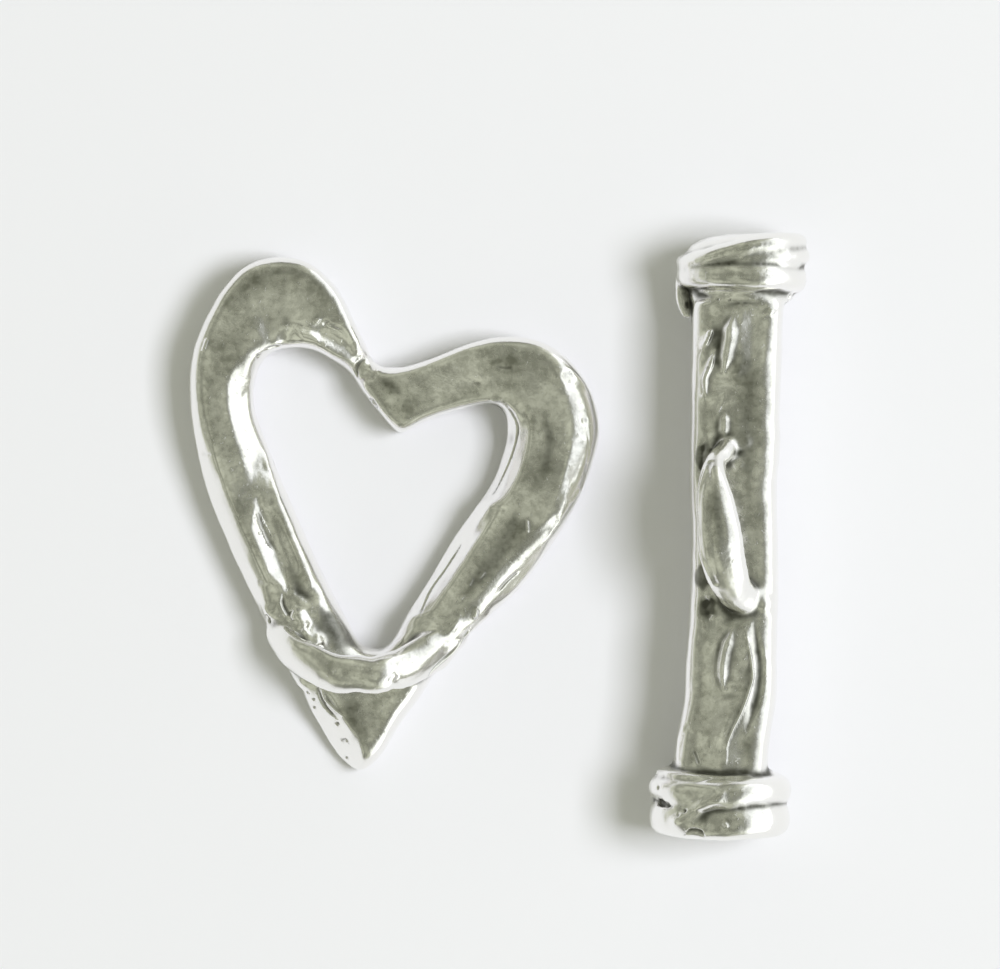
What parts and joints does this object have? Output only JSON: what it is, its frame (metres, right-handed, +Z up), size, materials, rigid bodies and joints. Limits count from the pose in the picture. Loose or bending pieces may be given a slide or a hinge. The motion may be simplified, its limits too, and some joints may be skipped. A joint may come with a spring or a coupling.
{
  "type": "toggle clasp",
  "caption": "Toggle clasp for a necklace: an uneven heart-shaped cast ring with a bridge bail over its point, and a thick flat-topped bar with a raised loop and wire-wrapped ends.",
  "frame": {"origin": "bottom centre of the box round both pieces, on the surface that they lie on", "axes": "+Z up from that surface, +Y from the heart's point towards its lobes and along the bar, +X from the heart towards the bar"},
  "size_m": [0.0279, 0.0272, 0.0075],
  "materials": {
    "silver": "polished cast silver with dark patina in the crevices"
  },
  "bodies": {
    "root": {"heart_ring": "silver", "toggle_bar": "silver"}
  },
  "joints": []
}
